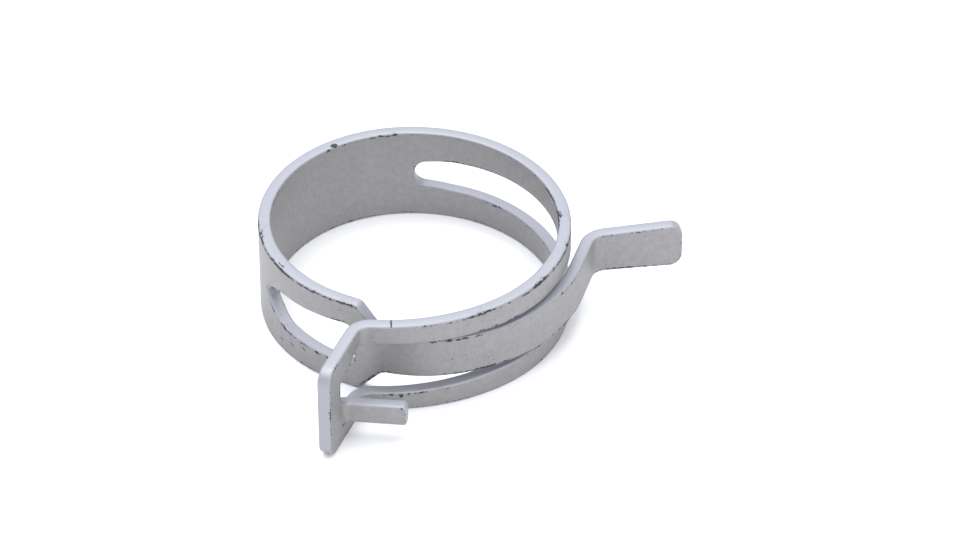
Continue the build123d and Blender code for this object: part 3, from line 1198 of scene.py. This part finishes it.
        return made + [
            Length("slot_rails", -slot_middle, -side_cuts[4], ("slot_flex", "slot_end"),
                   ("slot_band",) + slot_rails, -side[4]),
            Length("shoulder_step", -tongue_start, -slot_middle, ("slot_end", "tongue"),
                   ("shoulder", "tongue_root"), -side[5]),
            Length("tongue_blade", -flare, -tongue_start, tongue,
                   ("tongue_root", "tongue_middle", "tongue_outer")),
            Length("tongue_ear_plate", tongue_end, -flare, tongue, ("tongue_flare", "tongue_ear")),
        ]

    def build(self, bender: Bender, finish: bpy.types.Material) -> list[bpy.types.Object]:
        """Make every length, bend it, dress it, and hang the ones that ride on one body on the frame.

        Args:
            bender: What bends the blank.
            finish: The coating.

        Returns:
            The pieces.
        """
        blank, fork, tongue = self.blank(), self.fork, self.tongue
        fine = {"finest": 0.05, "turn_step": 0.5, "run_step": 1.0}
        trail = [tongue.at(s)[0] for s in reversed(tongue.stations(**fine))]
        trail += [fork.at(s)[0] for s in fork.stations(**fine)[1:]]
        line = curve_along("centre_line", trail)
        creases = [-s for s in tongue.stations()] + fork.stations()
        pieces = []
        for length in self.lengths():
            flat = blank.length_of(length.start, length.end, creases)
            piece = bender.bend(length.name, flat, line, -tongue.length, finish)
            self.hang(piece, length)
            pieces.append(piece)
        unlink(line)
        return pieces

    def hang(self, piece: bpy.types.Object, length: Length) -> None:
        """Tie a piece to its body; a piece that crosses a flex line is only baked in place, not tied to its
        two bodies.

        Args:
            piece: The finished piece.
            length: What it was made from.
        """
        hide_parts(*length.nodes)
        if length.way is Way.RIDES:
            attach(piece, length.bodies[0])
        else:
            point, along = self.place(length.flex)
            outwards = Vector((-along.y, along.x))
            pivot = point + outwards * self.thickness / 2
            away = along * math.copysign(self.flex_reach, length.flex)
            start, end = pivot - away, pivot + away
            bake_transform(piece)
        LOG.info("%s %s: %d faces", piece.name, length.way.value, len(piece.data.polygons))


@dataclass(frozen=True)
class StopTab:
    """The tab folded out of the fork ear's window, which stops the tongue ear.

    All sizes are in millimetres or degrees.
    """

    band: SpringBand
    bend_inner: float = 1.0
    turn: float = 75.6
    run: float = 6.25
    height: float = 2.7
    root_radius: float = 2.1
    end_radius: float = 0.45
    lift: float = 0.07  # the shear gap above the lower arm
    rooted: float = 0.8  # how far it runs on inside the ear's tip
    root_margin: float = 0.5
    sunk: float = 0.03  # how much thinner it is than the strip that it grows from

    def build(self, bender: Bender, finish: bpy.types.Material) -> bpy.types.Object:
        """Make the tab.

        Args:
            bender: What bends its blank.
            finish: The coating.

        Returns:
            The piece.
        """
        band = self.band
        half = band.thickness / 2
        root, heading = band.fork.at(band.ear_window_end + self.rooted)
        bends = [Bend(self.rooted), Bend(self.bend_inner + half, -self.turn), Bend(self.run)]
        path = CentreLine(tuple(root), heading + 180.0, bends)
        base = band.middle - band.mouth_half
        low, top = base + self.lift, base + self.height
        crest = top + self.root_radius + self.root_margin
        outer = (
            Corner(0.0, low),
            Corner(path.length, low, self.end_radius),
            Corner(path.length, top, self.end_radius),
            Corner(self.rooted, top, self.root_radius),
            Corner(self.rooted, crest),
            Corner(0.0, crest),
        )
        blank = Blank(outer, (), band.thickness - self.sunk)
        fine = path.stations(finest=0.05, turn_step=1.0, run_step=1.0)
        line = curve_along("tab_line", [path.at(s)[0] for s in fine])
        flat = blank.length_of(-OVERRUN, path.length + OVERRUN, path.stations(turn_step=5.0))
        piece = bender.bend("stop_tab_plate", flat, line, 0.0, finish)
        unlink(line)
        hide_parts("stop_tab")
        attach(piece, "fork_front")
        LOG.info("%s rides on fork_front: %d faces", piece.name, len(piece.data.polygons))
        return piece


# --------------------------------------------------------------------------- the studio


@dataclass(frozen=True)
class SoftBox:
    """One rectangular lamp that looks at the clamp.

    Attributes:
        name: The lamp's name.
        place: Where it hangs, in metres from what it looks at.
        size: Its sides, in metres.
        power: In watts.
        colour: Of its light.
    """

    name: str
    place: tuple[float, float, float]
    size: tuple[float, float]
    power: float
    colour: tuple[float, float, float]

    def hang(self, target: Vector) -> bpy.types.Object:
        """Add the lamp.

        Args:
            target: What it looks at.

        Returns:
            The lamp.
        """
        data = bpy.data.lights.new(self.name, "AREA")
        data.shape = "RECTANGLE"
        data.size, data.size_y = self.size
        data.energy = self.power
        data.color = self.colour
        lamp = bpy.data.objects.new(self.name, data)
        lamp.location = target + Vector(self.place)
        lamp.rotation_euler = (-Vector(self.place)).to_track_quat("-Z", "Y").to_euler()
        bpy.context.scene.collection.objects.link(lamp)
        return lamp


@dataclass(frozen=True)
class Studio:
    """White paper, soft light from above, and the camera."""

    aim: tuple[float, float, float] = (8.10, 5.10, 0.0)  # what the camera looks at, in mm
    elevation: float = 38.26
    roll: float = 0.13
    distance: float = 0.472
    lens: float = 150.0
    sensor: float = 36.0
    clip: Span = (0.01, 10.0)  # in metres
    paper_size: float = 6.0
    sky: Colour = (0.62, 0.64, 0.68, 1.0)
    sky_strength: float = 1.3
    lamps: tuple[SoftBox, ...] = (
        SoftBox("top_light", (-0.10, 0.15, 0.75), (0.9, 0.9), 9.0, (0.95, 0.97, 1.0)),
        SoftBox("front_light", (0.35, -0.80, 0.55), (0.6, 0.4), 3.0, (1.0, 0.97, 0.92)),
    )

    def build(self) -> None:
        """Set up the floor, the light and the camera."""
        self.lay_paper()
        self.light_sky()
        target = Vector(self.aim) * MM
        for lamp in self.lamps:
            lamp.hang(target)
        self.set_camera(target)
        bpy.context.scene.view_settings.view_transform = "Standard"
        LOG.info("studio: paper, %d lamps, camera", len(self.lamps))

    def lay_paper(self) -> None:
        """Lay the floor at the clamp's foot."""
        half, floor = self.paper_size / 2, CAD_BOX[0].z
        mesh = bpy.data.meshes.new("paper")
        corners = [(-half, -half, floor), (half, -half, floor), (half, half, floor), (-half, half, floor)]
        mesh.from_pydata(corners, [], [(0, 1, 2, 3)])
        mesh.materials.append(FloorPaper().dress())
        paper = bpy.data.objects.new("paper", mesh)
        bpy.context.scene.collection.objects.link(paper)

    def light_sky(self) -> None:
        """Fill the room with even light."""
        world = bpy.data.worlds.new("room")
        world.use_nodes = True
        background = world.node_tree.nodes["Background"]
        background.inputs["Color"].default_value = self.sky
        background.inputs["Strength"].default_value = self.sky_strength
        bpy.context.scene.world = world

    def set_camera(self, target: Vector) -> None:
        """Place the camera.

        Args:
            target: What it looks at, in metres.
        """
        rise = math.radians(self.elevation)
        back = Vector((0.0, -math.cos(rise), math.sin(rise)))
        data = bpy.data.cameras.new("camera")
        data.lens, data.sensor_width = self.lens, self.sensor
        data.clip_start, data.clip_end = self.clip
        camera = bpy.data.objects.new("camera", data)
        camera.location = target + back * self.distance
        aimed = (-back).to_track_quat("-Z", "Y").to_matrix()
        leaned = Matrix.Rotation(math.radians(self.roll), 3, "Z")
        camera.rotation_euler = (aimed @ leaned).to_euler()
        bpy.context.scene.collection.objects.link(camera)
        bpy.context.scene.camera = camera


MARKS = (
    # a nick in the fork's top edge, and a pit on the rail below it
    Mark(58.0, 12.0, 0.1, 0.5, tilt=15.0, offset=0.15, depth=0.75, broken=3.0),
    Mark(57.0, 2.0, 0.3, 0.3, tilt=10.0),
    # a chip in the top edge of the plain half
    Mark(-10.0, 12.0, 0.5, 0.3, offset=-0.45, depth=0.35),
    # a rub along the middle of the tongue, dying out towards its ear
    *(Mark(-59.0 - 2.5 * step, 3.5, 1.6 / (1 + step), 0.13) for step in range(3)),
    # specks along the rail below the side slot
    *(
        Mark(-36.0 - 2.0 * step, 1.5 + 0.5 * (step % 4), 0.4, 0.1, tilt=20.0 * (step % 3))
        for step in range(5)
    ),
)
WORN = (
    # the fork's top edge, outside and inside
    Mark(35.5, 12.0, 8.0, 1.2, depth=1.0, broken=4.0),
    Mark(25.0, 12.0, 7.0, 1.2, offset=-0.75, depth=0.8, broken=3.2),
    # the plain half's top edge, outside
    Mark(-34.0, 12.0, 14.0, 1.0, depth=0.8, broken=2.2),
    # the tip of the fork ear
    Mark(71.5, 6.0, 5.0, 6.0, offset=0.0, depth=1.2),
)


def main() -> None:
    """Build the clamp, then the studio round it."""
    logging.basicConfig(level=logging.INFO, format="%(name)s: %(message)s")
    coating = ZincFlakeCoating(marks=MARKS, worn=WORN).dress()
    bender = Bender()
    band = SpringBand.from_frame()
    band.build(bender, coating)
    StopTab(band).build(bender, coating)
    Studio().build()


if __name__ == "__main__":
    main()
